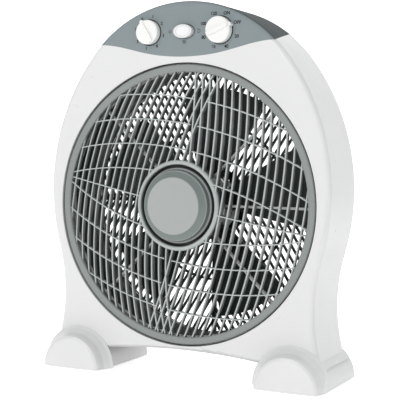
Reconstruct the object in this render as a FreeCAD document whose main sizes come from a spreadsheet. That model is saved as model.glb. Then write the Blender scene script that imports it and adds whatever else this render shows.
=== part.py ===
"""Box fan with a rotating louvre grille: an arched plastic housing on two half-round feet.

Row frame: +X to the right and -Y to the front of the fan, +Z up, origin on the floor under
the middle of the fan.  Nearly every piece is drawn in the fan frame: origin at the middle of
the front grille's ring, x to the right, y up and z towards the front.
"""
import FreeCAD, Part
import Sketcher
import math
import os
import re

Vector = FreeCAD.Vector
Rotation = FreeCAD.Rotation

# Driving dimensions in millimetres and degrees.  Heights and depths are in the fan frame.
SIZES = {
    "fan_height": 212.0, "front_plane": -37.0,
    "crown_height": 248.5, "crown_radius": 167.0, "crown_angle": 50.0,
    "half_width": 190.5, "waist_half": 171.5, "waist_height": -118.0,
    "base_height": -186.0, "base_rise": 6.5, "base_half": 105.0,
    "wall": 2.5, "face_front": 1.0, "seam_plane": -11.0, "back_plane": -92.0, "edge_round": 6.0,
    "panel_low": 181.0, "panel_rise": 17.0, "panel_end": 197.0,
    "ring_radius": 172.0, "ring_inner": 163.0, "ring_depth": 9.0, "opening_radius": 174.0,
    "grille_turn": -11.0, "slat_first": 7.0, "slat_pitch": 10.0, "slat_thick": 1.6,
    "slat_bow": 560.0, "rib_first": 37.0, "rib_pitch": 31.0, "rib_thick": 1.3, "rib_bow": 450.0,
    "dome_rise": 17.0, "dome_depth": 9.0,
    "hub_radius": 55.5, "hub_front": 15.2, "cap_radius": 46.0, "cap_face": 34.3, "cap_front": 27.4,
    "duct_inner": 163.3, "duct_rear": 170.0, "duct_wall": 2.3,
    "blade_radius": 147.0, "blade_root": 40.0, "blade_turn": 9.0, "shaft_radius": 4.0,
    "motor_radius": 41.0, "motor_front": -27.0, "stator_front": -35.0, "stator_back": -51.0,
    "motor_back": -59.0,
    "rear_opening": 170.4, "rear_bar_pitch": 9.0, "rear_bar_width": 2.3, "rear_bar_lean": 58.0,
    "disc_radius": 45.0, "disc_back": -99.0, "rear_most": -104.0,
    "knob_offset": 48.0, "knob_height": 211.5, "speed_knob_radius": 15.0,
    "timer_knob_radius": 16.0, "knob_front": 10.0, "spindle_radius": 3.0,
    "rocker_half_width": 13.5, "rocker_half_height": 8.5,
    "foot_offset": 146.5, "foot_base": -211.0, "foot_radius": 44.4, "foot_nose": 41.0,
    "foot_flare": 50.5, "foot_front": 24.0, "foot_wall": 2.6, "pad_radius": 8.0,
    "running_gap": 0.05,
}

doc = FreeCAD.newDocument("BoxFan")
sheet = doc.addObject("Spreadsheet::Sheet", "Sizes")
for row, (alias, value) in enumerate(SIZES.items(), start=1):
    sheet.set(f"A{row}", alias)
    sheet.set(f"B{row}", str(value))
    sheet.setAlias(f"B{row}", alias)
doc.recompute()
size = {alias: float(sheet.get(alias)) for alias in SIZES}
pieces = []


# ---------------------------------------------------------------- helpers
def bound(text):
    """An expression in which every alias of the sheet is looked up in the sheet."""
    return re.sub(r"[a-z][a-z_]+", lambda word: "Sizes." + word.group()
                  if word.group() in SIZES else word.group(), text)


def piece(label, x="0", y="0", turn=None):
    """A new body in the fan frame, moved by x and y and turned about the fan's axis."""
    body = doc.addObject("PartDesign::Body", label)
    body.Label = label
    body.Placement = FreeCAD.Placement(Vector(), Rotation(Vector(1, 0, 0), 90)
                                       * Rotation(Vector(0, 0, 1), size[turn] if turn else 0))
    body.setExpression("Placement.Base.x", bound(x))
    body.setExpression("Placement.Base.y", bound("front_plane"))
    body.setExpression("Placement.Base.z", bound(f"fan_height + {y}"))
    pieces.append(body)
    return body


def sketch(body, at="0", plane="XY_Plane"):
    """A sketch on one of the body's origin planes, moved along that plane's normal."""
    drawing = body.newObject("Sketcher::SketchObject", body.Label + "_sketch")
    origin = next(item for item in body.Origin.OriginFeatures if item.Role == plane)
    drawing.AttachmentSupport = (origin, "")
    drawing.MapMode = "FlatFace"
    drawing.setExpression("AttachmentOffset.Base.z", bound(at))
    return drawing


def drive(drawing, kind, where, text):
    """A constraint whose value is an expression."""
    index = drawing.addConstraint(Sketcher.Constraint(kind, *where, 1.0))
    drawing.setExpression(f"Constraints[{index}]", bound(text))


def circle(drawing, radius, x="0", y="0"):
    shape = drawing.addGeometry(Part.Circle(Vector(1, 1, 0), Vector(0, 0, 1), 5), False)
    drive(drawing, "Radius", (shape,), radius)
    drive(drawing, "DistanceX", (shape, 3), x)
    drive(drawing, "DistanceY", (shape, 3), y)


def polygon(drawing, corners):
    """A closed outline whose corners are pairs of expressions."""
    count = len(corners)
    ring = [Vector(100 * math.cos(2 * math.pi * k / count), 100 * math.sin(2 * math.pi * k / count), 0)
            for k in range(count)]
    first = drawing.addGeometry([Part.LineSegment(ring[k], ring[(k + 1) % count])
                                 for k in range(count)], False)[0]
    for k, (x, y) in enumerate(corners):
        following = first + (k + 1) % count
        drawing.addConstraint(Sketcher.Constraint("Coincident", first + k, 2, following, 1))
        drive(drawing, "DistanceX", (first + k, 1), x)
        drive(drawing, "DistanceY", (first + k, 1), y)


def rectangle(drawing, x_low, y_low, x_high, y_high):
    polygon(drawing, [(x_low, y_low), (x_high, y_low), (x_high, y_high), (x_low, y_high)])


def outline(drawing, edges):
    """A closed outline of ready edges, held in place as one block."""
    for edge in edges:
        index = drawing.addGeometry(edge, False)
        drawing.addConstraint(Sketcher.Constraint("Block", index))


def extrude(body, drawing, length, kind="Pad", reverse=False, along=None):
    """Pad forwards or pocket backwards from a sketch, by an expression."""
    feature = body.newObject("PartDesign::" + kind, body.Label + "_" + kind.lower())
    feature.Profile = drawing
    feature.Type = "Length"
    feature.setExpression("Length", bound(length))
    feature.Reversed = reverse
    feature.Refine = False
    if along:
        feature.UseCustomVector = True
        feature.Direction = along
        feature.AlongSketchNormal = False
    return feature


def pad(body, drawing, length, **options):
    return extrude(body, drawing, length, "Pad", **options)


def pocket(body, drawing, length, **options):
    return extrude(body, drawing, length, "Pocket", **options)


def revolve(body, corners, angle="360", kind="Revolution", reverse=False):
    """Turn a profile of (radius, z) expressions about the body's z axis."""
    drawing = sketch(body, plane="XZ_Plane")
    polygon(drawing, corners)
    return turned(body, drawing, angle, kind, reverse)


def turned(body, drawing, angle="360", kind="Revolution", reverse=False):
    feature = body.newObject("PartDesign::" + kind, body.Label + "_" + kind.lower())
    feature.Profile = drawing
    feature.ReferenceAxis = (drawing, ["V_Axis"])
    feature.setExpression("Angle", angle)
    feature.Reversed = reverse
    feature.Refine = False
    return feature


def repeat(body, feature, count):
    """Repeat a feature evenly about the body's z axis."""
    pattern = body.newObject("PartDesign::PolarPattern", body.Label + "_pattern")
    pattern.Originals = [feature]
    pattern.Axis = (feature.Profile[0], ["N_Axis"])
    pattern.Angle = 360
    pattern.Occurrences = count
    pattern.Refine = False
    body.Tip = pattern
    return pattern


def rounded(body, feature, radius, wanted):
    """Round the edges of a feature that a test on their bounding box picks."""
    doc.recompute()
    names = [f"Edge{k}" for k, edge in enumerate(feature.Shape.Edges, start=1)
             if wanted(edge.BoundBox)]
    fillet = body.newObject("PartDesign::Fillet", body.Label + "_fillet")
    fillet.Base = (feature, names)
    fillet.setExpression("Radius", bound(radius))
    body.Tip = fillet
    return fillet


def line(start, end):
    return Part.LineSegment(Vector(*start, 0), Vector(*end, 0))


def arc(centre, radius, start, end):
    """An anticlockwise arc between two angles in degrees."""
    whole = Part.Circle(Vector(*centre, 0), Vector(0, 0, 1), radius)
    return Part.ArcOfCircle(whole, math.radians(start), math.radians(end))


def polar(centre, radius, degrees):
    return (centre[0] + radius * math.cos(math.radians(degrees)),
            centre[1] + radius * math.sin(math.radians(degrees)))


def heading(start, end):
    return math.degrees(math.atan2(end[1] - start[1], end[0] - start[0]))


def mirrored(point):
    return (-point[0], point[1])


# ---------------------------------------------------------------- outlines of the housing
def housing_outline(inset=0.0):
    """The arch, its flanks with their waist, and the shallow bow between the feet."""
    crown = (0.0, size["crown_height"] - size["crown_radius"])
    lean = math.radians(size["crown_angle"])
    flank_radius = ((size["half_width"] - size["crown_radius"] * math.sin(lean))
                    / (1.0 - math.sin(lean)))
    step = flank_radius - size["crown_radius"]
    flank = (-step * math.sin(lean), crown[1] - step * math.cos(lean))
    reach = size["waist_half"] - flank[0]
    drop = size["waist_height"] - flank[1]
    waist_radius = (reach ** 2 + drop ** 2 - flank_radius ** 2) / (2.0 * (flank_radius - reach))
    waist = (size["waist_half"] + waist_radius, size["waist_height"])

    crown_arc, flank_arc, waist_arc = (size["crown_radius"] - inset, flank_radius - inset,
                                       waist_radius + inset)
    shoulder = 90.0 - size["crown_angle"]
    turn = heading(flank, waist)
    floor = size["base_height"] + inset
    foot_angle = math.degrees(math.asin((waist[1] - floor) / waist_arc))
    corner = polar(waist, waist_arc, 180.0 + foot_angle)
    bow_half, bow_rise = size["base_half"], size["base_rise"]
    bow_radius = (bow_half ** 2 + bow_rise ** 2) / (2.0 * bow_rise)
    bow = (0.0, floor + bow_rise - bow_radius)
    bow_angle = math.degrees(math.asin(bow_half / bow_radius))
    inner = (bow_half, floor)
    return [arc(crown, crown_arc, shoulder, 180.0 - shoulder),
            arc(flank, flank_arc, turn, shoulder),
            arc(waist, waist_arc, turn + 180.0, 180.0 + foot_angle),
            line(corner, inner),
            arc(bow, bow_radius, 90.0 - bow_angle, 90.0 + bow_angle),
            line(mirrored(inner), mirrored(corner)),
            arc(mirrored(waist), waist_arc, -foot_angle, -turn),
            arc(mirrored(flank), flank_arc, 180.0 - shoulder, 180.0 - turn)]


def panel_line():
    """The wavy lower edge of the control panel, a little wider than the housing."""
    low, end, half = size["panel_low"], size["panel_end"], size["half_width"]
    heights = [(0.27, 0.3), (0.42, 0.72), (0.54, 1.0), (0.7, 1.0)]
    right = [(half * across, low + (end - low) * up) for across, up in heights]
    points = [mirrored(point) for point in reversed(right)] + [(0.0, low)] + right
    curve = Part.BSplineCurve()
    curve.interpolate([Vector(*point, 0) for point in points])
    return curve, points[0], points[-1]


def panel_region(limit):
    """Everything above the panel's lower edge up to a height, or below it down to one."""
    curve, left, right = panel_line()
    far = size["half_width"] + 30.0
    return [curve, line(right, (far, right[1])), line((far, right[1]), (far, limit)),
            line((far, limit), (-far, limit)), line((-far, limit), (-far, left[1])),
            line((-far, left[1]), left)]


def rise_direction():
    """The panel's lower edge climbs as it runs back along the sides."""
    return Vector(0, size["panel_rise"], size["back_plane"] - size["face_front"])


def cut_for_panel(body):
    """Take away the part of a shell that the control panel stands in for."""
    cut = sketch(body, "face_front")
    outline(cut, panel_region(size["crown_height"] + 30.0))
    pocket(body, cut, "face_front - back_plane + 10", along=rise_direction())


FOOT_SIDES = ("-foot_offset", "foot_offset")
SADDLE_GAP, SADDLE_WALL = 0.3, 2.4
CORD_PLACE = (120, -142)
both_sides = [(sign * x, y) for x, y in ((125, 150), (150, -140), (95, -160)) for sign in (-1, 1)]
panel_places = [(-60, 218), (60, 218)]
ear_places = [(-29.5, 0), (29.5, 0)]
bolt_places = [polar((0, 0), 37.2, 90 * k) for k in range(4)]
mount_places = [polar((0, 0), 31.0, 45 + 90 * k) for k in range(4)]
guard_places = [polar((0, 0), 178.3, 45 + 90 * k) for k in range(4)]
support_places = [polar((0, 0), 168.9, 20 + 90 * k) for k in range(4)]


def saddle(body, back, length):
    """Arched walls over the feet, joined to the bottom of a shell, and the room under them."""
    radius = size["foot_radius"] + SADDLE_GAP + SADDLE_WALL
    over = sketch(body, back)
    for side in (-1, 1):
        middle = (side * size["foot_offset"], size["foot_base"])
        cut = math.degrees(math.asin((size["base_height"] - middle[1]) / radius))
        ends = [polar(middle, radius, angle) for angle in (cut, 180.0 - cut)]
        outline(over, [arc(middle, radius, cut, 180.0 - cut), line(ends[1], ends[0])])
    pad(body, over, length)
    under = sketch(body, f"{back} + {length}")
    for side in FOOT_SIDES:
        circle(under, f"foot_radius + {SADDLE_GAP}", side, "foot_base")
    pocket(body, under, length)


def discs(drawing, places, radius):
    for x, y in places:
        circle(drawing, str(radius), str(x), str(y))


# ---------------------------------------------------------------- housing
def front_shell():
    """Shallow white front moulding with the round opening and the grille's collar."""
    body = piece("front_shell")
    blank = sketch(body, "seam_plane")
    outline(blank, housing_outline())
    slab = pad(body, blank, "face_front - seam_plane")
    rounded(body, slab, "edge_round", lambda box: box.ZMin > size["face_front"] - 0.1)
    cavity = sketch(body, "face_front - wall")
    outline(cavity, housing_outline(size["wall"]))
    pocket(body, cavity, "face_front - wall - seam_plane")
    posts = sketch(body, "-39.8")
    discs(posts, both_sides, 4.5)
    pad(body, posts, "38.3")
    saddle(body, "seam_plane", "face_front - seam_plane")
    revolve(body, [("opening_radius", "face_front - wall + 0.1"),
                   ("opening_radius + wall", "face_front - wall + 0.1"),
                   ("opening_radius + wall", "-13"), ("duct_inner + 1", "-13"),
                   ("duct_inner + 1", "-11"), ("opening_radius", "-11")])
    mouth = sketch(body, "face_front")
    circle(mouth, "opening_radius")
    pocket(body, mouth, "wall + 0.5")
    pilots = sketch(body, "-15")
    discs(pilots, both_sides, 1.55)
    pocket(body, pilots, "30")
    fixings = sketch(body, "-10.5")
    discs(fixings, support_places, 1.55)
    pocket(body, fixings, "4")
    cut_for_panel(body)


def rear_shell():
    """Deep white rear moulding: side walls, back wall, screw posts and the grip recess."""
    body = piece("rear_shell")
    blank = sketch(body, "back_plane")
    outline(blank, housing_outline())
    block = pad(body, blank, "seam_plane - back_plane")
    rounded(body, block, "edge_round", lambda box: box.ZMax < size["back_plane"] + 0.1)
    cavity = sketch(body, "seam_plane")
    outline(cavity, housing_outline(size["wall"]))
    pocket(body, cavity, "seam_plane - back_plane - wall")
    posts = sketch(body, "back_plane + wall - 0.5")
    discs(posts, both_sides, 5.2)
    pad(body, posts, "50")
    saddle(body, "back_plane", "seam_plane - back_plane")
    revolve(body, [("duct_rear + duct_wall + 0.3", "back_plane + wall - 0.2"),
                   ("duct_rear + duct_wall + 2.3", "back_plane + wall - 0.2"),
                   ("duct_rear + duct_wall + 2.3", "back_plane + 12"),
                   ("duct_rear + duct_wall + 0.3", "back_plane + 12")])
    window = sketch(body, "back_plane + wall + 0.5")
    circle(window, "rear_opening")
    pocket(body, window, "wall + 2")
    grip = sketch(body, "back_plane + wall - 0.5")
    rectangle(grip, "-52", "173", "52", "196.5")
    pad(body, grip, "30")
    fingers = sketch(body, "back_plane + 28")
    rectangle(fingers, "-50", "175", "50", "194.5")
    pocket(body, fingers, "30")
    counterbores = sketch(body, "-44")
    discs(counterbores, both_sides, 3.6)
    pocket(body, counterbores, "60")
    clearances = sketch(body, "-30")
    discs(clearances, both_sides, 1.7)
    pocket(body, clearances, "30")
    inlet = sketch(body, "back_plane + wall + 1")
    discs(inlet, [CORD_PLACE], 6.0)
    discs(inlet, guard_places, 1.4)
    pocket(body, inlet, "10")
    bosses = sketch(body, "-(foot_base + foot_radius + 12)", "XZ_Plane")
    for x in FOOT_SIDES:
        circle(bosses, "4.5", x, "-30")
        circle(bosses, "4.5", x, "-70")
    pad(body, bosses, "10.5")
    pilots = sketch(body, "-(foot_base + foot_radius)", "XZ_Plane")
    for x in FOOT_SIDES:
        circle(pilots, "1.55", x, "-30")
        circle(pilots, "1.55", x, "-70")
    pocket(body, pilots, "10")
    cut_for_panel(body)
    tabs = sketch(body, "back_plane + wall")
    for side in ("-1", "1"):
        rectangle(tabs, f"{side} * 60 - 8", "186", f"{side} * 60 + 8", "226")
    pad(body, tabs, "2.6")
    holes = sketch(body, "back_plane + wall + 3")
    discs(holes, panel_places, 1.55)
    pocket(body, holes, "4")


def control_panel():
    """Grey cap over the top of both shells, carrying the dials and the rocker."""
    body = piece("control_panel")
    blank = sketch(body, "back_plane")
    outline(blank, housing_outline())
    block = pad(body, blank, "face_front - back_plane")
    rounded(body, block, "edge_round - 1", lambda box: box.ZLength < 0.1)
    cavity = sketch(body, "face_front - wall")
    outline(cavity, housing_outline(size["wall"]))
    pocket(body, cavity, "face_front - back_plane - 2 * wall")
    below = sketch(body, "face_front")
    outline(below, panel_region(size["base_height"] - 30.0))
    pocket(body, below, "face_front - back_plane + 10", along=rise_direction())
    holes = sketch(body, "face_front")
    circle(holes, "5.3", "-knob_offset", "knob_height")
    circle(holes, "5.3", "knob_offset", "knob_height")
    slot = Part.Ellipse(Vector(0, size["knob_height"], 0), size["rocker_half_width"] + 0.9,
                        size["rocker_half_height"] + 0.6)
    outline(holes, [slot])
    pocket(body, holes, "wall + 0.5")
    fixings = sketch(body, "back_plane + wall + 0.5")
    discs(fixings, panel_places, 1.7)
    pocket(body, fixings, "wall + 1")


def foot(label, side):
    """Hollow half-round foot: a flared dome in front and a tunnel under the housing."""
    body = piece(label, side, "foot_base")
    revolve(body, [
        ("0", "foot_front"), ("foot_nose - 4.5", "foot_front"), ("foot_nose - 1.5", "foot_front - 1.5"),
        ("foot_nose", "foot_front - 4.5"), ("foot_nose + 2.2", "foot_front - 12"),
        ("foot_flare - 3", "face_front + 3.4"), ("foot_flare", "face_front + 0.2"),
        ("foot_radius", "face_front + 0.2"), ("foot_radius", "rear_most + 4"),
        ("foot_radius - 3", "rear_most"), ("0", "rear_most"), ("0", "rear_most + foot_wall"),
        ("foot_radius - foot_wall", "rear_most + foot_wall"), ("foot_radius - foot_wall", "0"),
        ("foot_nose - foot_wall", "foot_front - 12"), ("foot_nose - foot_wall", "foot_front - foot_wall"),
        ("0", "foot_front - foot_wall")], angle="180")
    front_post = sketch(body, "-(foot_nose - 1)", "XZ_Plane")
    circle(front_post, "pad_radius + 1", "0", "8")
    pad(body, front_post, "foot_nose - 4.3")
    rear_post = sketch(body, "-(foot_radius - 1.6)", "XZ_Plane")
    circle(rear_post, "pad_radius + 1", "0", "-90")
    pad(body, rear_post, "foot_radius - 4.9")
    holes = sketch(body, "-(foot_radius - 8)", "XZ_Plane")
    circle(holes, "1.7", "0", "-30")
    circle(holes, "1.7", "0", "-70")
    pocket(body, holes, "12")
    outer = sketch(body, "foot_front + 1")
    way = 1 if side == "foot_offset" else -1
    rectangle(outer, f"{way} * (half_width - foot_offset)", "-1", f"{way} * 60", "60")
    pocket(body, outer, "foot_front - rear_most + 2")


def foot_pads():
    """Four rubber pads under the posts of the feet."""
    body = piece("foot_pads", y="-fan_height")
    pads = sketch(body, "-(foot_base + fan_height + 3.3)", "XZ_Plane")
    for side in FOOT_SIDES:
        circle(pads, "pad_radius", side, "8")
        circle(pads, "pad_radius", side, "-90")
    pad(body, pads, "foot_base + fan_height + 3.3")


def air_duct():
    """Dark shroud around the impeller: screwed on in front, flared towards the back."""
    body = piece("air_duct")
    revolve(body, [("duct_inner", "-15.5"), ("ring_radius", "-15.5"), ("ring_radius", "-17.5"),
                   ("duct_inner + duct_wall", "-17.5"), ("duct_inner + duct_wall", "-58"),
                   ("duct_rear + duct_wall", "back_plane + 12"),
                   ("duct_rear + duct_wall", "back_plane + wall + 0.1"),
                   ("duct_rear", "back_plane + wall + 0.1"), ("duct_rear", "back_plane + 12"),
                   ("duct_inner", "-58")])
    holes = sketch(body, "-15")
    discs(holes, support_places, 1.6)
    pocket(body, holes, "4")


def rear_grille():
    """Dark rear guard: leaning bars between a screwed rim and a vented middle disc."""
    body = piece("rear_grille")
    lean = math.radians(size["rear_bar_lean"])
    along, across = (math.cos(lean), math.sin(lean)), (math.sin(lean), -math.cos(lean))
    reach, hub, half = size["rear_opening"] + 1.2, size["disc_radius"] - 1.0, size["rear_bar_width"] / 2.0
    bars = sketch(body, "back_plane - 5")
    steps = int(reach / size["rear_bar_pitch"])
    for step in range(-steps, steps + 1):
        offset = step * size["rear_bar_pitch"]
        start = max(-offset * math.tan(lean), offset / math.tan(lean)) + 2.0
        if abs(offset) < hub:
            start = max(start, math.sqrt(hub ** 2 - offset ** 2))
        end = math.sqrt(reach ** 2 - offset ** 2)
        if end - start < 4.0:
            continue
        strip = [(offset * across[0] + t * along[0] + side * across[0],
                  offset * across[1] + t * along[1] + side * across[1])
                 for t, side in ((start, -half), (end, -half), (end, half), (start, half))]
        for flip_x in (1, -1):
            for flip_y in (1, -1):
                corners = [(flip_x * x, flip_y * y) for x, y in strip]
                outline(bars, [line(corners[k], corners[(k + 1) % 4]) for k in range(4)])
    pad(body, bars, "4.4")
    revolve(body, [("rear_opening + 0.2", "back_plane"), ("rear_opening + 4", "back_plane"),
                   ("rear_opening + 4", "back_plane - 2.4"),
                   ("rear_opening + 2.4", "back_plane - 5.4"),
                   ("rear_opening + 0.2", "back_plane - 5.4")])
    ears = sketch(body, "back_plane - 2.4")
    discs(ears, guard_places, 6.5)
    pad(body, ears, "2.4")
    revolve(body, [("100", "back_plane - 0.4"), ("102.4", "back_plane - 0.4"),
                   ("102.4", "back_plane - 5.2"), ("100", "back_plane - 5.2")])
    revolve(body, [("disc_radius - 2.4", "back_plane - 0.4"), ("disc_radius", "back_plane - 0.4"),
                   ("disc_radius", "disc_back + 3"), ("disc_radius - 3", "disc_back"),
                   ("0", "disc_back"), ("0", "disc_back + 2.4"),
                   ("disc_radius - 2.4", "disc_back + 2.4")])
    spokes = sketch(body, "back_plane - 5.2")
    rectangle(spokes, "disc_radius - 1", "-2.6", "rear_opening + 1.2", "2.6")
    spoke = pad(body, spokes, "4.8")
    repeat(body, spoke, 4)
    vents = sketch(body, "disc_back + 3")
    rectangle(vents, "12", "-1.6", "34", "1.6")
    vent = pocket(body, vents, "4")
    repeat(body, vent, 12)
    rim_holes = sketch(body, "back_plane + 1")
    discs(rim_holes, guard_places, 1.7)
    pocket(body, rim_holes, "4")


def front_support():
    """Spider of thin arms on a flat ring, carrying both motors at its middle."""
    body = piece("front_support")
    arms = sketch(body, "-18.8")
    reach = size["duct_inner"] - 0.2
    for angle, half in ((45, 1.1), (135, 1.1), (225, 1.1), (315, 1.1), (0, 1.4)):
        turn = Rotation(Vector(0, 0, 1), angle)
        corners = [turn.multVec(Vector(x, y, 0)) for x, y in
                   ((35.5, -half), (reach, -half), (reach, half), (35.5, half))]
        outline(arms, [Part.LineSegment(corners[k], corners[(k + 1) % 4]) for k in range(4)])
    pad(body, arms, "5.6")
    revolve(body, [("duct_inner - 0.3", "-13.2"), ("ring_radius", "-13.2"), ("ring_radius", "-15.3"),
                   ("duct_inner - 0.3", "-15.3")])
    revolve(body, [("34.8", "-12"), ("37", "-12"), ("37", "-26.4"), ("0", "-26.4"), ("0", "-23.6"),
                   ("34.8", "-23.6")])
    holes = sketch(body, "-13")
    discs(holes, support_places + mount_places, 1.6)
    discs(holes, ear_places, 1.35)
    pocket(body, holes, "15")


# ---------------------------------------------------------------- rotating louvre grille
def dome(radius, depth=0.0):
    """Height of the domed front of the louvre grille, or of its back at a depth."""
    front = size["dome_rise"] - radius ** 2 / 1400.0
    return front if not depth else front - depth + radius ** 2 / 7600.0


def bowed_strip(start, bow, thick, low, high, flip):
    """A strip between two concentric arcs: its middle bows back from start at height 0."""
    def point(height, side):
        radius = bow + side * thick / 2.0
        across = start - bow + math.sqrt(radius ** 2 - height ** 2)
        return (across, height) if flip > 0 else (-across, height)

    def edge(side):
        shape = Part.Arc(*[Vector(*point(height, side), 0)
                           for height in (low, (low + high) / 2.0, high)])
        return shape

    return [edge(1), line(point(high, 1), point(high, -1)), edge(-1), line(point(low, -1), point(low, 1))]


def louvre_grille():
    """Ring, domed bowed slats in two mirrored sets, thin ribs and the hub, in one moulding."""
    body = piece("louvre_grille", turn="grille_turn")
    ring = (size["ring_radius"] + size["ring_inner"]) / 2.0
    back = -size["ring_depth"] - 2.0
    for flip in (1, -1):
        slats = sketch(body, str(back))
        for k in range(16):
            start = size["slat_first"] + k * size["slat_pitch"]
            high = math.sqrt(ring ** 2 - start ** 2)
            for _ in range(4):
                drift = start - high ** 2 / (2.0 * size["slat_bow"])
                high = math.sqrt(ring ** 2 - drift ** 2)
            outline(slats, bowed_strip(start, size["slat_bow"], size["slat_thick"], -high, high, flip))
        pad(body, slats, "dome_rise + 20")
    ribs = sketch(body, str(back))
    turn = Rotation(Vector(0, 0, 1), 90)
    for row in range(4):
        rise = size["rib_first"] + row * size["rib_pitch"]
        sag = rise - ring ** 2 / (2.0 * size["rib_bow"])
        far = math.sqrt(ring ** 2 - max(sag, 0.0) ** 2)
        for _ in range(6):
            sag = rise - far ** 2 / (2.0 * size["rib_bow"])
            far = math.sqrt(ring ** 2 - sag ** 2)
        gap = 5.0 if row < 3 else 9.0
        for flip in (1, -1):
            for low, high in ((gap, far), (-far, -gap)):
                strip = bowed_strip(rise, size["rib_bow"], size["rib_thick"], low, high, flip)
                for edge in strip:
                    edge.rotate(FreeCAD.Placement(Vector(), turn))
                outline(ribs, strip)
    pad(body, ribs, "dome_rise + 20")
    straight = sketch(body, str(back))
    rectangle(straight, "hub_radius - 3", "-rib_thick / 2", "ring_radius - 4", "rib_thick / 2")
    rectangle(straight, "-ring_radius + 4", "-rib_thick / 2", "3 - hub_radius", "rib_thick / 2")
    pad(body, straight, "dome_rise + 20")
    waste = sketch(body, plane="XZ_Plane")
    inner, outer, top, floor = size["hub_radius"] - 3.4, size["ring_radius"] + 4.0, 40.0, -20.0
    middle = (inner + outer) / 2.0
    depth = size["dome_depth"]
    front = Part.Arc(*[Vector(r, dome(r), 0) for r in (outer, middle, inner)])
    rear = Part.Arc(*[Vector(r, dome(r, depth), 0) for r in (inner, middle, outer)])
    outline(waste, [line((0, top), (outer, top)), line((outer, top), (outer, dome(outer))), front,
                    line((inner, dome(inner)), (inner, dome(inner, depth))), rear,
                    line((outer, dome(outer, depth)), (outer, floor)), line((outer, floor), (0, floor)),
                    line((0, floor), (0, top))])
    turned(body, waste, kind="Groove")
    revolve(body, [("ring_inner", "-0.9"), ("ring_inner + 0.9", "0"), ("ring_radius - 1.2", "0"),
                   ("ring_radius", "-1.2"), ("ring_radius", "-ring_depth"),
                   ("ring_inner", "-ring_depth")])
    revolve(body, [("spindle_radius + 0.53", "hub_front - 7.2"), ("cap_radius - 0.2", "hub_front - 7.2"),
                   ("cap_radius - 0.2", "hub_front - 13.4"), ("hub_radius - 5.6", "hub_front - 13.4"),
                   ("hub_radius - 5.6", "hub_front - 0.8"), ("hub_radius - 5", "hub_front + 0.7"),
                   ("hub_radius - 3.8", "hub_front + 1.3"), ("hub_radius - 2.2", "hub_front + 0.7"),
                   ("hub_radius - 0.7", "hub_front - 0.9"), ("hub_radius", "hub_front - 2.6"),
                   ("hub_radius", "hub_front - 15.6"), ("cap_radius - 2.4", "hub_front - 15.6"),
                   ("cap_radius - 2.4", "hub_front - 9.4"), ("8.5", "hub_front - 9.4"),
                   ("8.5", "-3"), ("spindle_radius + 0.53", "-3")])


def grille_cap():
    """Stepped cap over the middle of the louvre grille: a face, a sloped shoulder and a skirt."""
    body = piece("grille_cap", turn="grille_turn")
    revolve(body, [("0", "cap_front"), ("cap_face - 0.5", "cap_front"),
                   ("cap_face + 0.5", "cap_front - 0.7"), ("cap_radius - 4.4", "cap_front - 6.3"),
                   ("cap_radius - 3.7", "cap_front - 6.5"), ("cap_radius - 3.2", "cap_front - 7.2"),
                   ("cap_radius - 2.6", "cap_front - 12.4"), ("cap_radius - 0.8", "cap_front - 12.9"),
                   ("cap_radius", "cap_front - 13.7"), ("cap_radius", "hub_front - 7"),
                   ("cap_radius - 2.2", "hub_front - 7"), ("cap_radius - 2.2", "cap_front - 15"),
                   ("cap_radius - 4.8", "cap_front - 15"), ("cap_radius - 5.4", "cap_front - 8.6"),
                   ("cap_face - 1", "cap_front - 2.6"), ("0", "cap_front - 2.6")])


def grille_motor():
    """Flat synchronous motor with two ears, and its case's bore for the output shaft."""
    body = piece("grille_motor")
    revolve(body, [("spindle_radius + 0.5 + running_gap", "-6"), ("6.5", "-6"), ("6.5", "-8.2"),
                   ("24", "-8.2"), ("25", "-9.2"), ("25", "-23.4"), ("0", "-23.4"), ("0", "-20.3"),
                   ("spindle_radius + 0.5 + running_gap", "-20.3")])
    ears = sketch(body, "-23.4")
    rectangle(ears, "20", "-5", "34", "5")
    rectangle(ears, "-34", "-5", "-20", "5")
    pad(body, ears, "1.4")
    holes = sketch(body, "-21")
    discs(holes, ear_places, 1.6)
    pocket(body, holes, "4")


def grille_motor_shaft():
    body = piece("grille_motor_shaft", turn="grille_turn")
    revolve(body, [("1.5", "hub_front - 7.3"), ("spindle_radius + 0.5", "hub_front - 7.3"),
                   ("spindle_radius + 0.5", "-20"), ("0", "-20"), ("0", "-2"), ("1.5", "-2")])


def screws(label, places, seat, head_radius, head_height, shank_radius, shank_length, forward=1):
    """Pan-head screws along the fan's axis: heads on one side of the seat, shanks on the other."""
    body = piece(label)
    heads = sketch(body, seat if forward > 0 else f"{seat} - {head_height}")
    discs(heads, places, head_radius)
    pad(body, heads, str(head_height))
    shanks = sketch(body, f"{seat} - {shank_length}" if forward > 0 else seat)
    discs(shanks, places, shank_radius)
    pad(body, shanks, str(shank_length))
    recesses = sketch(body, f"{seat} + {head_height}" if forward > 0 else f"{seat} - {head_height / 2}")
    for x, y in places:
        rectangle(recesses, f"{x} - {head_radius / 2}", f"{y} - 0.4",
                  f"{x} + {head_radius / 2}", f"{y} + 0.4")
    pocket(body, recesses, str(head_height / 2))


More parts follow.
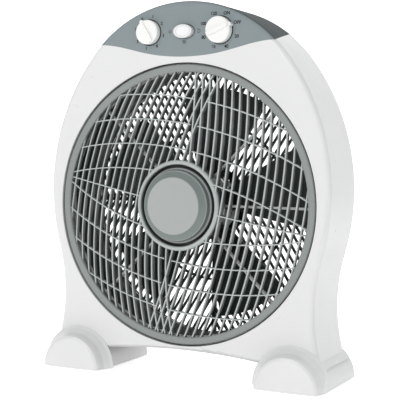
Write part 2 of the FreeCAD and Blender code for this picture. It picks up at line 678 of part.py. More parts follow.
# ---------------------------------------------------------------- impeller and main motor
def impeller():
    """Five broad pitched blades on a cup-shaped hub that opens towards the motor."""
    body = piece("impeller", turn="blade_turn")
    sections = []
    for x, half, low, high in ((36.5, 15.0, -76.0, -64.0), (96.0, 38.0, -80.0, -61.5),
                               (154.0, 58.0, -81.0, -61.0)):
        section = sketch(body, str(x), "YZ_Plane")
        middle = (low + high) / 2.0 - 2.2
        curves = []
        for lift in (0.0, 2.2):
            curve = Part.BSplineCurve()
            curve.interpolate([Vector(-half, low + lift, 0), Vector(0, middle + lift, 0),
                               Vector(half, high + lift, 0)])
            curves.append(curve)
        outline(section, [curves[0], line((half, high), (half, high + 2.2)), curves[1],
                          line((-half, low + 2.2), (-half, low))])
        sections.append(section)
    blade = body.newObject("PartDesign::AdditiveLoft", "blade")
    blade.Profile = sections[0]
    blade.Sections = sections[1:]
    blade.Ruled = False
    blade.Refine = False
    doc.recompute()
    blades = body.newObject("PartDesign::PolarPattern", "blades")
    blades.Originals = [blade]
    axis = next(item for item in body.Origin.OriginFeatures if item.Role == "Z_Axis")
    blades.Axis = (axis, [""])
    blades.Angle = 360
    blades.Occurrences = 5
    blades.Refine = False
    body.Tip = blades
    revolve(body, [("blade_radius", "-50"), ("200", "-50"), ("200", "-95"), ("blade_radius", "-95")],
            kind="Groove")
    revolve(body, [("0", "-50"), ("blade_root - 2.4", "-50"), ("blade_root - 2.4", "-95"), ("0", "-95")],
            kind="Groove")
    revolve(body, [("shaft_radius + 0.03", "-77"), ("blade_root - 2", "-77"), ("blade_root", "-75"),
                   ("blade_root", "-61.5"), ("blade_root - 2.4", "-61.5"),
                   ("blade_root - 2.4", "-74.6"), ("9", "-74.6"), ("9", "-61"),
                   ("shaft_radius + 0.03", "-61")])
    groove = sketch(body, "-60")
    rectangle(groove, "-12", "-1.4", "12", "1.4")
    pocket(body, groove, "4.3")


def impeller_nut():
    """Round fluted nut behind the impeller's hub."""
    body = piece("impeller_nut", turn="blade_turn")
    revolve(body, [("0", "-84.9"), ("8", "-84.9"), ("13", "-82.3"), ("13", "-77.1"),
                   ("shaft_radius + 0.03", "-77.1"), ("shaft_radius + 0.03", "-83.7"), ("0", "-83.7")])
    flutes = sketch(body, "-77")
    circle(flutes, "3", "14.6", "0")
    flute = pocket(body, flutes, "9")
    repeat(body, flute, 8)


def drive_pin():
    """Cross pin through the shaft that turns the impeller."""
    body = piece("drive_pin", turn="blade_turn")
    side = sketch(body, "-9", "YZ_Plane")
    circle(side, "1.2", "0", "-63")
    pad(body, side, "18")


def motor_shaft():
    body = piece("motor_shaft", turn="blade_turn")
    revolve(body, [("0", "-28"), ("shaft_radius", "-28"), ("shaft_radius", "-83"),
                   ("shaft_radius - 0.6", "-83.6"), ("0", "-83.6")])
    side = sketch(body, "-9", "YZ_Plane")
    circle(side, "1.23", "0", "-63")
    pocket(body, side, "18", reverse=True)


def rotor():
    body = piece("rotor", turn="blade_turn")
    revolve(body, [("shaft_radius + 0.03", "stator_front - 1"), ("22.5", "stator_front - 1"),
                   ("23.5", "stator_front - 2"), ("23.5", "stator_back + 2"), ("22.5", "stator_back + 1"),
                   ("shaft_radius + 0.03", "stator_back + 1")])


def stator():
    body = piece("stator")
    revolve(body, [("24", "stator_front"), ("motor_radius", "stator_front"),
                   ("motor_radius", "stator_back"), ("24", "stator_back")])
    holes = sketch(body, "stator_front + 1")
    discs(holes, bolt_places, 1.7)
    pocket(body, holes, "stator_front - stator_back + 2")


def stator_windings():
    """The two rings of coil ends in front of and behind the laminations."""
    body = piece("stator_windings")
    for near, far in (("stator_front + 0.1", "stator_front + 5.2"),
                      ("stator_back - 5.2", "stator_back - 0.1")):
        revolve(body, [("26.5", near), ("33.5", near), ("34.5", f"{near} + 1"), ("34.5", f"{far} - 1"),
                       ("33.5", far), ("26.5", far), ("25.5", f"{far} - 1"), ("25.5", f"{near} + 1")])


def end_shield(label, inner, outer, seat):
    """Cast end shield: a rim against the laminations, a plate and a seat for the bush."""
    body = piece(label)
    way = 1 if label == "front_shield" else -1
    revolve(body, [("8.05", outer), ("motor_radius - 3", outer), ("motor_radius", f"{outer} - {2 * way}"),
                   ("motor_radius", inner), ("motor_radius - 5.8", inner),
                   ("motor_radius - 5.8", f"{outer} - {2.2 * way}"), ("11", f"{outer} - {2.2 * way}"),
                   ("11", seat), ("8.05", seat)])
    holes = sketch(body, f"{outer} + 1" if way > 0 else f"{inner} + 1")
    discs(holes, bolt_places, 1.7)
    if way > 0:
        discs(holes, mount_places, 1.55)
    pocket(body, holes, "12")


def bush(label, front, back):
    body = piece(label)
    revolve(body, [("shaft_radius + running_gap", front), ("8", front), ("8", back),
                   ("shaft_radius + running_gap", back)])


# ---------------------------------------------------------------- controls and wiring blocks
def control(label, side, back, half):
    """A rotary switch or timer: a square case, a neck through the panel and a bore."""
    body = piece(label, side, "knob_height")
    case = sketch(body, back)
    rectangle(case, f"-{half}", f"-{half}", half, half)
    pad(body, case, f"-{back} - 2.6")
    revolve(body, [("spindle_radius + running_gap", "-2.7"), ("5", "-2.7"), ("5", "3.4"),
                   ("spindle_radius + running_gap", "3.4")])
    bore = sketch(body, "-2.5")
    circle(bore, "spindle_radius + running_gap")
    pocket(body, bore, "12.6")


def spindle(label, side):
    body = piece(label, side, "knob_height")
    revolve(body, [("0", "8"), ("spindle_radius", "8"), ("spindle_radius", "-15"), ("0", "-15")])


def knob(label, side, radius, ridge):
    """Round knob with a finger ridge that ends in a pointer, hollow under the skirt."""
    body = piece(label, side, "knob_height")
    revolve(body, [("0", "knob_front"), (f"{radius} - 1.6", "knob_front"),
                   (f"{radius} - 0.5", "knob_front - 0.6"), (radius, "knob_front - 2"), (radius, "1.7"),
                   (f"{radius} - 2", "1.7"), (f"{radius} - 2", "4"), ("spindle_radius + 0.03", "4"),
                   ("spindle_radius + 0.03", "8.1"), ("0", "8.1")])
    grip = sketch(body, "knob_front - 1")
    reach = size[radius] - 1.5
    turn = Rotation(Vector(0, 0, 1), ridge)
    corners = [turn.multVec(Vector(x, y, 0)) for x, y in
               ((-reach, -2.4), (reach - 2, -2.4), (reach, 0), (reach - 2, 2.4), (-reach, 2.4))]
    outline(grip, [Part.LineSegment(corners[k], corners[(k + 1) % 5]) for k in range(5)])
    pad(body, grip, "3.4")
    tip = sketch(body, "1.7")
    discs(tip, [polar((0, 0), size[radius] - 0.4, ridge)], 2.6)
    pad(body, tip, "knob_front - 3")


def control_nuts():
    """Hexagon nuts that hold the rotary switch and the timer to the panel."""
    body = piece("control_nuts")
    nuts = sketch(body, "face_front + 0.1")
    for side in (-1, 1):
        middle = (side * size["knob_offset"], size["knob_height"])
        corners = [polar(middle, 8.0, 60 * k) for k in range(6)]
        outline(nuts, [line(corners[k], corners[(k + 1) % 6]) for k in range(6)])
        discs(nuts, [middle], 5.03)
    pad(body, nuts, "2")


ROCKER_PIVOT, ROCKER_REST = -5.0, 5.0


def grille_rocker():
    """Oval rocker on an upright pivot, resting on its left side."""
    body = piece("grille_rocker", y="knob_height")
    face = sketch(body, "-2")
    outline(face, [Part.Ellipse(Vector(), size["rocker_half_width"], size["rocker_half_height"])])
    block = pad(body, face, "8")
    rounded(body, block, "1.6", lambda box: box.ZMin > 5.9)
    tail = sketch(body, "-8")
    rectangle(tail, "-4", "-5", "4", "5")
    pad(body, tail, "6.5")
    pins = sketch(body, "-7", "XZ_Plane")
    circle(pins, "1.2", "0", str(ROCKER_PIVOT))
    pad(body, pins, "14")
    doc.recompute()
    tilt = Rotation(Vector(0, 1, 0), -ROCKER_REST)
    pivot = Vector(0, 0, ROCKER_PIVOT)
    leaned = body.Placement * FreeCAD.Placement(pivot - tilt.multVec(pivot), tilt)
    body.setExpression("Placement.Base.x", None)
    body.setExpression("Placement.Base.y", None)
    body.setExpression("Placement.Base.z", None)
    body.Placement = leaned


def rocker_switch():
    """The rocker's switch: a collar behind the panel, two pivot cheeks and the case."""
    body = piece("rocker_switch", y="knob_height")
    collar = sketch(body, "-9.5")
    outline(collar, [Part.Ellipse(Vector(), 17.5, 12.5)])
    pad(body, collar, "7.9")
    inside = sketch(body, "-1.5")
    outline(inside, [Part.Ellipse(Vector(), 15.2, 10.2)])
    pocket(body, inside, "8.0")
    case = sketch(body, "-21")
    rectangle(case, "-13", "-9.5", "13", "9.5")
    pad(body, case, "11.5")
    cheeks = sketch(body, "-9.6")
    rectangle(cheeks, "-3", "5.4", "3", "10")
    rectangle(cheeks, "-3", "-10", "3", "-5.4")
    pad(body, cheeks, "6.9")
    bore = sketch(body, "-8", "XZ_Plane")
    circle(bore, "1.2 + running_gap", "0", str(ROCKER_PIVOT))
    pocket(body, bore, "16", reverse=True)


def wiring():
    """The motor's capacitor, the terminal block and the grommet where the cord leaves."""
    capacitor = piece("capacitor")
    can = sketch(capacitor, "back_plane + wall + 0.1")
    rectangle(can, "-106", "-179.5", "-74", "-167.5")
    pad(capacitor, can, "24")
    block = piece("terminal_block")
    base = sketch(block, "back_plane + wall + 0.1")
    rectangle(base, "76", "-179.5", "104", "-167.5")
    pad(block, base, "14")
    ways = sketch(block, "back_plane + wall + 15")
    for k in range(3):
        circle(ways, "2.4", str(81 + 9 * k), "-173.5")
    pocket(block, ways, "7")
    grommet = piece("cord_inlet", str(CORD_PLACE[0]), str(CORD_PLACE[1]))
    revolve(grommet, [("3.6", "back_plane - 2"), ("7.2", "back_plane - 2"), ("8", "back_plane - 1.2"),
                      ("8", "back_plane"), ("5.9", "back_plane"), ("5.9", "back_plane + 6"),
                      ("3.6", "back_plane + 6")])


def foot_screws():
    """Upright screws through the crowns of the feet into the rear shell's bosses."""
    body = piece("foot_screws")
    for at, radius, length in (("foot_base + foot_radius - foot_wall - 0.4", "3.1", "2.2"),
                               ("foot_base + foot_radius + 8.5", "1.5", "11.5")):
        drawing = sketch(body, f"-({at})", "XZ_Plane")
        for side in FOOT_SIDES:
            circle(drawing, radius, side, "-30")
            circle(drawing, radius, side, "-70")
        pad(body, drawing, length)


def fasteners():
    """Every set of screws that runs along the fan's axis: seat, head and shank."""
    screws("housing_screws", both_sides, "-44", 3.3, 2.8, 1.5, 26, forward=-1)
    screws("panel_screws", panel_places, "back_plane", 3.2, 1.9, 1.5, 5, forward=-1)
    screws("rear_grille_screws", guard_places, "back_plane - 2.4", 2.8, 1.8, 1.35, 5.5, forward=-1)
    screws("support_screws", support_places, "-17.5", 2.5, 1.8, 1.5, 6, forward=-1)
    screws("motor_screws", mount_places, "-23.6", 3, 1.6, 1.5, 5.4)
    screws("motor_bolts", bolt_places, "motor_back", 2.8, 1.6, 1.6, 31.5, forward=-1)
    screws("grille_motor_screws", ear_places, "-22", 2.6, 1.8, 1.3, 4)
    screws("grille_screw", [(0, 0)], "hub_front - 7.2", 5, 2, 1.45, 8.5)


for make in (front_shell, rear_shell, control_panel, air_duct, rear_grille, front_support,
             louvre_grille, grille_cap, grille_motor, grille_motor_shaft, foot_pads, impeller,
             impeller_nut, drive_pin, motor_shaft, rotor, stator, stator_windings, control_nuts,
             grille_rocker, rocker_switch, wiring, foot_screws, fasteners):
    make()
for name, place in (("left_foot", "-foot_offset"), ("right_foot", "foot_offset")):
    foot(name, place)
for name, inner, outer, seat in (("front_shield", "stator_front", "motor_front", "-33"),
                                 ("rear_shield", "stator_back", "motor_back", "-53")):
    end_shield(name, inner, outer, seat)
bush("front_bush", "motor_front", "-33")
bush("rear_bush", "-53", "motor_back")
for name, place, deep, half in (("speed_switch", "-knob_offset", "-22", "13"),
                                ("timer", "knob_offset", "-25", "15")):
    control(name, place, deep, half)
for name, place, radius, ridge in (("speed_knob", "-knob_offset", "speed_knob_radius", 122),
                                   ("timer_knob", "knob_offset", "timer_knob_radius", 22.5)):
    knob(name, place, radius, ridge)
spindle("speed_spindle", "-knob_offset")
spindle("timer_spindle", "knob_offset")

doc.recompute()
for item in doc.Objects:
    if "Invalid" in item.State or "Error" in item.State:
        raise RuntimeError(f"{item.Name} did not build: {item.State}")
os.makedirs("parts", exist_ok=True)
for body in pieces:
    if body.Shape.isNull() or not body.Shape.isValid():
        raise RuntimeError(f"{body.Label} is not a valid solid")
    body.Shape.exportStep(f"parts/{body.Label}.step")
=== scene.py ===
"""Looks of the arched box fan: materials, dial legends, small trim, studio and camera.

Everything is placed in the row frame in metres: +X right, -Y front, +Z up, floor at z = 0.
"""

import math

import bmesh
import bpy
from mathutils import Matrix, Vector


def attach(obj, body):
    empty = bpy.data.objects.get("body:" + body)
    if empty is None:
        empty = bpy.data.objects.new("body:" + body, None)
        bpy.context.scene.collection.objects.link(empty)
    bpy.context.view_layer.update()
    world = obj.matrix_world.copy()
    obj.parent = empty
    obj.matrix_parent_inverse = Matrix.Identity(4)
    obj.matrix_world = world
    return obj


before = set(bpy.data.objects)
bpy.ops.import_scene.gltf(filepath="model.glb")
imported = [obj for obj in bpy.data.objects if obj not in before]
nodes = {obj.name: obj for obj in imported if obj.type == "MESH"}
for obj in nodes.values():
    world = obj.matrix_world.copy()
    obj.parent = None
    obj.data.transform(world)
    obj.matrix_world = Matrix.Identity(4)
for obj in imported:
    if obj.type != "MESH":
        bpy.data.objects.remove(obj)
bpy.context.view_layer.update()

MM = 0.001
FAN_Z = 0.212            # height of the fan's axis, in metres
RING_Y = -0.037          # the plane of the louvre ring, in metres
# The rest are in millimetres, in the fan frame: x right, y up, z forward, from the ring's middle.
PANEL_FRONT = 1.0        # the control panel's face
DIAL_HEIGHT = 211.5
DIAL_OFFSET = 48.0       # each dial's distance from the rocker
PRINT_LIFT = 0.02        # the prints' middle plane in front of the panel
INK_HALF = 0.04          # half of a print's thickness
INK_SPREAD = 0.16        # how far the ink spreads past the font's outline
CAPITAL_PART = 0.7       # a capital's height as a part of the font's size


def fan(x, y, z):
    """A point of the fan frame, in millimetres, as a point of the row frame in metres."""
    return Vector((x * MM, RING_Y - z * MM, FAN_Z + y * MM))


# ---------------------------------------------------------------- materials
CLOUD_SCALE = 9.0        # noise scale of the colour's soft clouding
HANDLING_SCALE = 34.0    # noise scale of the uneven gloss
GLOSS_SWING = 0.05       # how far the roughness goes each way
RELIEF_DEPTH = 0.0004    # metres


def new_material(name):
    material = bpy.data.materials.new(name)
    material.use_nodes = True
    tree = material.node_tree
    return material, tree, tree.nodes["Principled BSDF"]


def noise(tree, scale, detail=3.0, roughness=0.5):
    place = tree.nodes.new("ShaderNodeTexCoord")
    texture = tree.nodes.new("ShaderNodeTexNoise")
    texture.inputs["Scale"].default_value = scale
    texture.inputs["Detail"].default_value = detail
    texture.inputs["Roughness"].default_value = roughness
    tree.links.new(place.outputs["Object"], texture.inputs["Vector"])
    return texture.outputs["Fac"]


def ramp(tree, factor, low, high, start=0.3, end=0.7):
    node = tree.nodes.new("ShaderNodeValToRGB")
    node.color_ramp.elements[0].position = start
    node.color_ramp.elements[1].position = end
    node.color_ramp.elements[0].color = low
    node.color_ramp.elements[1].color = high
    tree.links.new(factor, node.inputs["Fac"])
    return node.outputs["Color"]


def shade(colour, gain):
    return (*[min(1.0, channel * gain) for channel in colour], 1.0)


def moulded(name, colour, roughness, grain=900.0, bump=0.02, vary=0.03, coat=0.0,
            specular=0.5):
    """Moulded plastic: soft clouding of the colour, uneven gloss and a fine texture."""
    material, tree, surface = new_material(name)
    cloud = noise(tree, CLOUD_SCALE, 4.0)
    tree.links.new(ramp(tree, cloud, shade(colour, 1 - vary), shade(colour, 1 + vary)),
                   surface.inputs["Base Color"])
    handling = noise(tree, HANDLING_SCALE, 5.0, 0.6)
    gloss = tree.nodes.new("ShaderNodeMapRange")
    gloss.inputs["From Min"].default_value = 0.3
    gloss.inputs["From Max"].default_value = 0.7
    gloss.inputs["To Min"].default_value = roughness - GLOSS_SWING
    gloss.inputs["To Max"].default_value = roughness + GLOSS_SWING
    tree.links.new(handling, gloss.inputs["Value"])
    tree.links.new(gloss.outputs["Result"], surface.inputs["Roughness"])
    relief = tree.nodes.new("ShaderNodeBump")
    relief.inputs["Strength"].default_value = bump
    relief.inputs["Distance"].default_value = RELIEF_DEPTH
    tree.links.new(noise(tree, grain, 2.0), relief.inputs["Height"])
    tree.links.new(relief.outputs["Normal"], surface.inputs["Normal"])
    surface.inputs["Coat Weight"].default_value = coat
    surface.inputs["Coat Roughness"].default_value = 0.12
    surface.inputs["Specular IOR Level"].default_value = specular
    return material


def metal(name, colour, roughness, scale=60.0, stretch=(1.0, 1.0, 12.0)):
    """Plated or pressed metal with a drawn grain."""
    material, tree, surface = new_material(name)
    place = tree.nodes.new("ShaderNodeTexCoord")
    mapping = tree.nodes.new("ShaderNodeMapping")
    mapping.inputs["Scale"].default_value = stretch
    texture = tree.nodes.new("ShaderNodeTexNoise")
    texture.inputs["Scale"].default_value = scale
    texture.inputs["Detail"].default_value = 6.0
    tree.links.new(place.outputs["Object"], mapping.inputs["Vector"])
    tree.links.new(mapping.outputs["Vector"], texture.inputs["Vector"])
    grain = texture.outputs["Fac"]
    tree.links.new(ramp(tree, grain, shade(colour, 0.85), shade(colour, 1.1)),
                   surface.inputs["Base Color"])
    gloss = tree.nodes.new("ShaderNodeMapRange")
    gloss.inputs["To Min"].default_value = roughness - 0.08
    gloss.inputs["To Max"].default_value = roughness + 0.12
    tree.links.new(grain, gloss.inputs["Value"])
    tree.links.new(gloss.outputs["Result"], surface.inputs["Roughness"])
    surface.inputs["Metallic"].default_value = 1.0
    return material


def banded(name, dark, light, spacing, roughness, axis="Y", metallic=0.0):
    """Fine even bands: stacked laminations, or a coil's wires."""
    material, tree, surface = new_material(name)
    place = tree.nodes.new("ShaderNodeTexCoord")
    wave = tree.nodes.new("ShaderNodeTexWave")
    wave.bands_direction = axis
    wave.inputs["Scale"].default_value = spacing
    wave.inputs["Distortion"].default_value = 0.6
    wave.inputs["Detail"].default_value = 2.0
    tree.links.new(place.outputs["Object"], wave.inputs["Vector"])
    tree.links.new(ramp(tree, wave.outputs["Fac"], shade(dark, 1), shade(light, 1), 0.2, 0.8),
                   surface.inputs["Base Color"])
    relief = tree.nodes.new("ShaderNodeBump")
    relief.inputs["Strength"].default_value = 0.4
    relief.inputs["Distance"].default_value = RELIEF_DEPTH
    tree.links.new(wave.outputs["Fac"], relief.inputs["Height"])
    tree.links.new(relief.outputs["Normal"], surface.inputs["Normal"])
    surface.inputs["Roughness"].default_value = roughness
    surface.inputs["Metallic"].default_value = metallic
    return material


def spread(tree, centre, scale):
    """Distance of the point being shaded from a centre, after scaling each direction."""
    place = tree.nodes.new("ShaderNodeTexCoord")
    shift = tree.nodes.new("ShaderNodeVectorMath")
    shift.operation = "SUBTRACT"
    shift.inputs[1].default_value = centre
    flat = tree.nodes.new("ShaderNodeVectorMath")
    flat.operation = "MULTIPLY"
    flat.inputs[1].default_value = scale
    length = tree.nodes.new("ShaderNodeVectorMath")
    length.operation = "LENGTH"
    tree.links.new(place.outputs["Object"], shift.inputs[0])
    tree.links.new(shift.outputs["Vector"], flat.inputs[0])
    tree.links.new(flat.outputs["Vector"], length.inputs[0])
    return length.outputs["Value"]


def fan_radius(tree):
    """Distance from the fan's axis, in metres."""
    return spread(tree, (0.0, 0.0, FAN_Z), (1.0, 0.0, 1.0))


def fan_front(tree):
    """How far in front of the ring's plane the point being shaded is, in metres."""
    place = tree.nodes.new("ShaderNodeTexCoord")
    split = tree.nodes.new("ShaderNodeSeparateXYZ")
    tree.links.new(place.outputs["Object"], split.inputs["Vector"])
    return maths(tree, "SUBTRACT", RING_Y, split.outputs["Y"])


def maths(tree, operation, first, second):
    node = tree.nodes.new("ShaderNodeMath")
    node.operation = operation
    for socket, value in zip(node.inputs, (first, second)):
        if isinstance(value, (int, float)):
            socket.default_value = value
        else:
            tree.links.new(value, socket)
    return node.outputs["Value"]


def tint(material, factor, stops):
    """Multiply the material's colour by a ramp of greys and tints along a factor."""
    tree = material.node_tree
    surface = tree.nodes["Principled BSDF"]
    base = surface.inputs["Base Color"].links[0].from_socket
    node = tree.nodes.new("ShaderNodeValToRGB")
    bands = node.color_ramp.elements
    for place, _ in stops[2:]:
        bands.new(place)
    for band, (place, colour) in zip(bands, stops):
        band.position = place
        band.color = (*colour, 1.0)
    tree.links.new(factor, node.inputs["Fac"])
    mix = tree.nodes.new("ShaderNodeMix")
    mix.data_type = "RGBA"
    mix.blend_type = "MULTIPLY"
    mix.inputs["Factor"].default_value = 1.0
    tree.links.new(base, mix.inputs["A"])
    tree.links.new(node.outputs["Color"], mix.inputs["B"])
    tree.links.new(mix.outputs["Result"], surface.inputs["Base Color"])


def grey(level):
    return (level, level, level)


HOUSING_COLOUR = (0.72, 0.72, 0.715)
white = moulded("housing_white", HOUSING_COLOUR, 0.32, bump=0.012, vary=0.012, coat=0.15)
foot_white = moulded("foot_white", HOUSING_COLOUR, 0.34, bump=0.012, vary=0.015, coat=0.1)
panel_grey = moulded("panel_grey", (0.242, 0.280, 0.288), 0.62, grain=1400.0, bump=0.05,
                     vary=0.03, specular=0.08)
grille_grey = moulded("grille_grey", (0.43, 0.465, 0.45), 0.40, bump=0.03, vary=0.04, coat=0.1)
cap_grey = moulded("cap_grey", (0.365, 0.38, 0.375), 0.38, grain=1400.0, bump=0.04, vary=0.02)
dark = moulded("dark_plastic", (0.022, 0.026, 0.026), 0.6, vary=0.12, specular=0.12)
support_white = moulded("support_plastic", (0.72, 0.73, 0.72), 0.40, vary=0.03)
blade = moulded("blade_plastic", (0.015, 0.019, 0.019), 0.36, bump=0.01, vary=0.15,
                specular=0.3)
knob_white = moulded("knob_white", (0.86, 0.855, 0.84), 0.18, bump=0.008, vary=0.012, coat=0.4)
rocker_white = moulded("rocker_white", (0.84, 0.85, 0.85), 0.22, bump=0.008, vary=0.012,
                       coat=0.3)
case_black = moulded("case_black", (0.03, 0.03, 0.034), 0.5, vary=0.12)
rubber = moulded("pad_rubber", (0.022, 0.022, 0.022), 0.75, grain=500.0, bump=0.15, vary=0.15,
                 specular=0.3)
steel = metal("zinc_steel", (0.60, 0.61, 0.63), 0.32)
shield = metal("shield_metal", (0.56, 0.57, 0.58), 0.40, 30.0, (1.0, 1.0, 1.0))
motor_case = metal("motor_case", (0.50, 0.51, 0.52), 0.36, 40.0, (1.0, 6.0, 1.0))
bronze = metal("sintered_bronze", (0.50, 0.33, 0.16), 0.55, 200.0, (1.0, 1.0, 1.0))
laminations = banded("laminations", (0.05, 0.052, 0.058), (0.13, 0.135, 0.145), 320.0, 0.45,
                     "Y", 0.6)
winding = banded("winding", (0.22, 0.07, 0.025), (0.50, 0.19, 0.07), 260.0, 0.3, "DIAGONAL")
# Ink for the legends and pictures, and for the painted shadow round the knobs.
print_and_painted_shadow_ink = moulded("print_and_painted_shadow_ink", (0.008, 0.009, 0.010), 0.6, vary=0.1, specular=0.2)

# Painted shade: the undersides of the white mouldings are darkened in their colour, and their
# sides are made a little darker than the front.
for material in (white, foot_white):
    tree = material.node_tree
    facing = tree.nodes.new("ShaderNodeNewGeometry")
    split = tree.nodes.new("ShaderNodeSeparateXYZ")
    tree.links.new(facing.outputs["Normal"], split.inputs["Vector"])
    tint(material, maths(tree, "ADD", split.outputs["Z"], 1.0),
         [(0.0, grey(0.50)), (0.5, grey(0.8)), (0.8, grey(1.0))])
    tint(material, maths(tree, "MULTIPLY", split.outputs["Y"], -1.0),
         [(0.0, grey(0.86)), (0.6, grey(1.0)), (1.0, grey(1.0))])
# Painted shade: the louvre's front edges keep their colour, while its sides and the groove round
# the cap are darkened in their colour with depth behind a dome that falls with the square of the
# radius. All in metres.
DOME_HEIGHT, DOME_SPAN = 0.017, 1.4
SHADE_DEPTH = 0.014
RING_RADIUS = 0.175
louvre_tree = grille_grey.node_tree
radius = fan_radius(louvre_tree)
fall = maths(louvre_tree, "MULTIPLY", maths(louvre_tree, "MULTIPLY", radius, radius),
             1 / DOME_SPAN)
dome = maths(louvre_tree, "SUBTRACT", DOME_HEIGHT, fall)
behind = maths(louvre_tree, "SUBTRACT", dome, fan_front(louvre_tree))
tint(grille_grey, maths(louvre_tree, "MULTIPLY", behind, 1 / SHADE_DEPTH),
     [(0.0, grey(1.0)), (0.07, grey(0.78)), (0.28, grey(0.34)), (0.62, grey(0.15))])
# The ring outside the slats is darker than they are.
tint(grille_grey, maths(louvre_tree, "MULTIPLY", radius, 1 / RING_RADIUS),
     [(0.0, grey(1.0)), (0.925, grey(1.0)), (0.932, grey(0.57))])
# The cap has a light face and a darker sloped shoulder; on that, painted highlights on the
# shoulder's edge and on the base edge, and painted shade on the skirt and on the outer wall down
# into the groove.
CAP_REACH = 0.05         # the radius at which the cap's run of bands ends, in metres
tint(cap_grey,
     maths(cap_grey.node_tree, "MULTIPLY", fan_radius(cap_grey.node_tree), 1 / CAP_REACH),
     [(0.0, grey(1.0)), (0.688, grey(1.0)), (0.700, (0.45, 0.51, 0.49)),
      (0.838, (0.50, 0.56, 0.54)), (0.846, grey(0.95)), (0.856, (0.42, 0.48, 0.47)),
      (0.876, (0.25, 0.29, 0.29)), (0.896, grey(0.8)), (0.914, grey(0.85)),
      (0.922, (0.25, 0.28, 0.28))])
# Painted shade: the rocker's dished face gets a slightly darker border painted into its colour,
# in place of the shading of the dish.
ROCKER_HALF_WIDTH, ROCKER_HALF_HEIGHT = 0.0135, 0.0085
tint(rocker_white, spread(rocker_white.node_tree, (0.0, 0.0, FAN_Z + DIAL_HEIGHT * MM),
                          (1 / ROCKER_HALF_WIDTH, 0.0, 1 / ROCKER_HALF_HEIGHT)),
     [(0.0, grey(1.0)), (0.62, grey(0.97)), (0.74, grey(0.80)), (0.84, grey(0.93)),
      (0.98, grey(0.70))])
# Painted shade: the panel's sides and top are painted a darker grey than its front; the ramp runs
# from 10 mm behind the ring's plane to the ring's plane.
panel_tree = panel_grey.node_tree
tint(panel_grey, maths(panel_tree, "MULTIPLY",
                       maths(panel_tree, "ADD", fan_front(panel_tree), 0.01), 100),
     [(0.0, (0.28, 0.29, 0.29)), (0.80, (0.30, 0.31, 0.31)), (1.0, grey(1.0))])

finishes = {
    "front_shell": white, "rear_shell": white, "left_foot": foot_white, "right_foot": foot_white,
    "control_panel": panel_grey, "louvre_grille": grille_grey, "grille_cap": cap_grey,
    "air_duct": dark, "rear_grille": dark, "impeller": blade, "impeller_nut": dark,
    "front_support": support_white, "speed_knob": knob_white, "timer_knob": knob_white,
    "grille_rocker": rocker_white, "foot_pads": rubber, "cord_inlet": rubber,
    "speed_switch": case_black, "timer": case_black, "rocker_switch": case_black,
    "capacitor": case_black, "terminal_block": case_black, "grille_motor": motor_case,
    "stator": laminations, "rotor": laminations, "stator_windings": winding,
    "front_shield": shield, "rear_shield": shield, "front_bush": bronze, "rear_bush": bronze,
}
for name, node in nodes.items():
    node.data.materials.clear()
    node.data.materials.append(finishes.get(name, steel))


# ---------------------------------------------------------------- prints and painted shadow on the panel
def lay_on_panel(name, mesh, x, y):
    """Lay a flat mark of ink on the panel's front at a place of the fan frame, for a print and
    for the painted shadow round a knob.
    """
    label = bpy.data.objects.new(name, mesh)
    label.matrix_world = (Matrix.Translation(fan(x, y, PANEL_FRONT + PRINT_LIFT))
                          @ Matrix.Rotation(math.radians(90), 4, "X"))
    bpy.context.scene.collection.objects.link(label)
    label.data.materials.clear()
    label.data.materials.append(print_and_painted_shadow_ink)
    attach(label, "housing")


def letters(name, body, height, x, y):
    """Print a number or a short word, its capitals of the given height."""
    text = bpy.data.curves.new(name, "FONT")
    text.body = body
    text.size = height / CAPITAL_PART * MM
    text.align_x = "CENTER"
    text.align_y = "CENTER"
    text.offset = INK_SPREAD * MM
    text.extrude = INK_HALF * MM
    shape = bpy.data.objects.new(name, text)
    bpy.context.scene.collection.objects.link(shape)
    bpy.context.view_layer.update()
    mesh = bpy.data.meshes.new_from_object(shape.evaluated_get(
        bpy.context.evaluated_depsgraph_get()))
    bpy.data.objects.remove(shape)
    lay_on_panel(name, mesh, x, y)


def band(name, points, width, x, y, closed=False):
    """A line of ink of even width through a run of points, in millimetres: print, and the painted
    shadow round a knob.
    """
    build = bmesh.new()
    count = len(points)
    edges = []
    for k, here in enumerate(points):
        before = points[k - 1] if k or closed else here
        after = points[(k + 1) % count] if k + 1 < count or closed else here
        way = (Vector(after) - Vector(before)).normalized()
        side = Vector((-way.y, way.x)) * width / 2
        pair = [Vector(here) + side, Vector(here) - side]
        edges.append([[build.verts.new((p.x * MM, p.y * MM, level)) for p in pair]
                      for level in (-INK_HALF * MM, INK_HALF * MM)])
    for k in range(count if closed else count - 1):
        (a0, a1), (b0, b1) = edges[k]
        (c0, c1), (d0, d1) = edges[(k + 1) % count]
        for corners in ((b1, b0, d0, d1), (a0, a1, c1, c0), (a0, c0, d0, b0), (a1, b1, d1, c1)):
            build.faces.new(corners)
    if not closed:
        for end, order in ((edges[0], 1), (edges[-1], -1)):
            (a0, a1), (b0, b1) = end
            build.faces.new((a0, b0, b1, a1)[::order])
    mesh = bpy.data.meshes.new(name)
    build.to_mesh(mesh)
    build.free()
    lay_on_panel(name, mesh, x, y)


def sweep(radius, start, end, steps=24):
    """Points along an arc from one angle to another, in degrees."""
    return [(radius * math.cos(math.radians(start + (end - start) * k / steps)),
             radius * math.sin(math.radians(start + (end - start) * k / steps)))
            for k in range(steps + 1)]


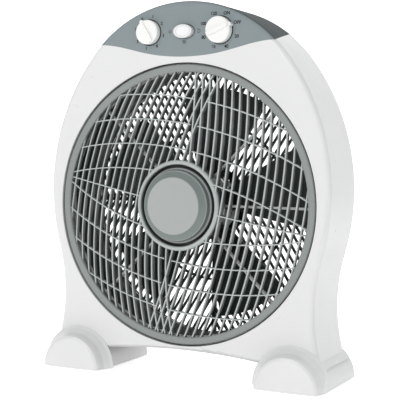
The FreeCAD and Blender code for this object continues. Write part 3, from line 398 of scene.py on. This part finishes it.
# The legends stand round each dial, an eighth of a turn apart, from the first one's angle on.
STEP_ANGLE = 45.0
SPEED_START, TIMER_START = 122.0, 112.5
for k, digit in enumerate("01230123"):
    angle = math.radians(SPEED_START - STEP_ANGLE * k)
    letters(f"speed_mark_{k}", digit, 3.6, -DIAL_OFFSET + 19.8 * math.cos(angle),
            DIAL_HEIGHT + 19.9 * math.sin(angle))
for k, word in enumerate(("120", "ON", "OFF", "20", "40", "60", "80", "100")):
    angle = math.radians(TIMER_START - STEP_ANGLE * k)
    # A longer word stands further out at the dial's sides, clear of the ring.
    out_by = 21.2 + (1.3 + 0.7 * len(word)) * abs(math.cos(angle))
    letters(f"timer_mark_{k}", word, 3.8, DIAL_OFFSET + out_by * math.cos(angle),
            DIAL_HEIGHT + 21.4 * math.sin(angle))
# Painted shadow: a thin dark ring of ink just outside each knob stands in for the knob's shadow
# on the panel.
band("speed_knob_painted_shadow", sweep(15.7, 0, 354, 59), 1.0, -DIAL_OFFSET, DIAL_HEIGHT, closed=True)
band("timer_knob_painted_shadow", sweep(16.7, 0, 354, 59), 1.0, DIAL_OFFSET, DIAL_HEIGHT, closed=True)

# Small pictures round the rocker: still at its left, turning at its right, the grille below.
PICTURE_OFFSET = 19.5
PICTURE_BELOW = DIAL_HEIGHT - 12.6
PICTURE_LINE = 0.55
band("rocker_mark_still", sweep(1.5, 0, 345, 23), PICTURE_LINE, -PICTURE_OFFSET, DIAL_HEIGHT,
     closed=True)
band("rocker_mark_turning", sweep(2.0, -150, 110), PICTURE_LINE, PICTURE_OFFSET, DIAL_HEIGHT)
band("rocker_mark_arrow", [(-1.9, 2.9), (-0.5, 1.9), (-1.5, 0.5)], PICTURE_LINE,
     PICTURE_OFFSET, DIAL_HEIGHT)
band("rocker_mark_grille", sweep(2.1, 0, 345, 23), 0.45, 0.0, PICTURE_BELOW, closed=True)
for k in (-1, 0, 1):
    half = 1.45 if k == 0 else 1.15
    band(f"rocker_mark_slat_{k + 1}", [(0.9 * k, -half), (0.9 * k, half)], 0.4, 0.0,
         PICTURE_BELOW)


# ---------------------------------------------------------------- studio
# A sheet of white paper: flat under the fan, bent up behind it into a wall.
floor_mesh = bpy.data.meshes.new("floor")
build = bmesh.new()
depth, wide, rise, bend = 1.4, 4.0, 3.0, 0.6
BEND_STEPS = 8
profile = [(-4.0, 0.0), (depth, 0.0)]
for step in range(1, BEND_STEPS + 1):
    angle = math.radians(90 * step / BEND_STEPS)
    profile.append((depth + bend * math.sin(angle), bend * (1 - math.cos(angle))))
profile.append((depth + bend, rise))
rows = [[build.verts.new((x, y, z)) for x in (-wide, wide)] for y, z in profile]
for low, high in zip(rows, rows[1:]):
    build.faces.new((low[0], low[1], high[1], high[0]))
build.to_mesh(floor_mesh)
build.free()
for face in floor_mesh.polygons:
    face.use_smooth = True
floor = bpy.data.objects.new("studio_floor", floor_mesh)
bpy.context.scene.collection.objects.link(floor)
PAPER_GLOW = 0.58        # keeps the paper white under the low lights
paper = moulded("studio_paper", grey(0.90), 0.35, vary=0.003)
paper_surface = paper.node_tree.nodes["Principled BSDF"]
paper_surface.inputs["Emission Color"].default_value = (1, 1, 1, 1)
paper_surface.inputs["Emission Strength"].default_value = PAPER_GLOW
floor.data.materials.append(paper)


def area_light(name, place, target, power, width, height):
    """A rectangular lamp at a place, turned to a target; power in watts."""
    light = bpy.data.lights.new(name, "AREA")
    light.shape = "RECTANGLE"
    light.size = width
    light.size_y = height
    light.energy = power
    lamp = bpy.data.objects.new(name, light)
    lamp.location = place
    way = Vector(target) - Vector(place)
    lamp.rotation_euler = way.to_track_quat("-Z", "Y").to_euler()
    bpy.context.scene.collection.objects.link(lamp)
    return lamp


middle = (0.0, 0.0, 0.22)
area_light("key", (-0.5, -2.1, 1.4), middle, 17, 1.5, 1.1)
area_light("fill", (1.9, -1.3, 0.9), middle, 0.6, 1.4, 1.4)
area_light("top", (0.0, 0.1, 2.2), middle, 6, 1.8, 1.4)

world = bpy.data.worlds.new("studio")
world.use_nodes = True
background = world.node_tree.nodes["Background"]
background.inputs["Color"].default_value = (0.98, 0.99, 1.0, 1)
background.inputs["Strength"].default_value = 0.56
bpy.context.scene.world = world
bpy.context.scene.view_settings.view_transform = "Standard"

# ---------------------------------------------------------------- camera
# It stands to the right of the fan and a little above the point it aims at; ROLL is in radians.
AIM = Vector((0.0235, -0.037, 0.219))
DISTANCE, YAW, RISE, ROLL = 1.3371, math.radians(26.0), math.radians(2.8), 0.0121
out = Vector((math.sin(YAW) * math.cos(RISE), -math.cos(YAW) * math.cos(RISE),
              math.sin(RISE)))
right = Vector((math.cos(YAW), math.sin(YAW), 0.0))
up = out.cross(right)
right_rolled = right * math.cos(ROLL) + up * math.sin(ROLL)
up_rolled = out.cross(right_rolled)
lens = bpy.data.cameras.new("camera")
lens.lens = 99.0
lens.sensor_width = 36.0
camera = bpy.data.objects.new("camera", lens)
axes = Matrix((right_rolled, up_rolled, out)).transposed().to_4x4()
camera.matrix_world = Matrix.Translation(AIM + out * DISTANCE) @ axes
bpy.context.scene.collection.objects.link(camera)
bpy.context.scene.camera = camera
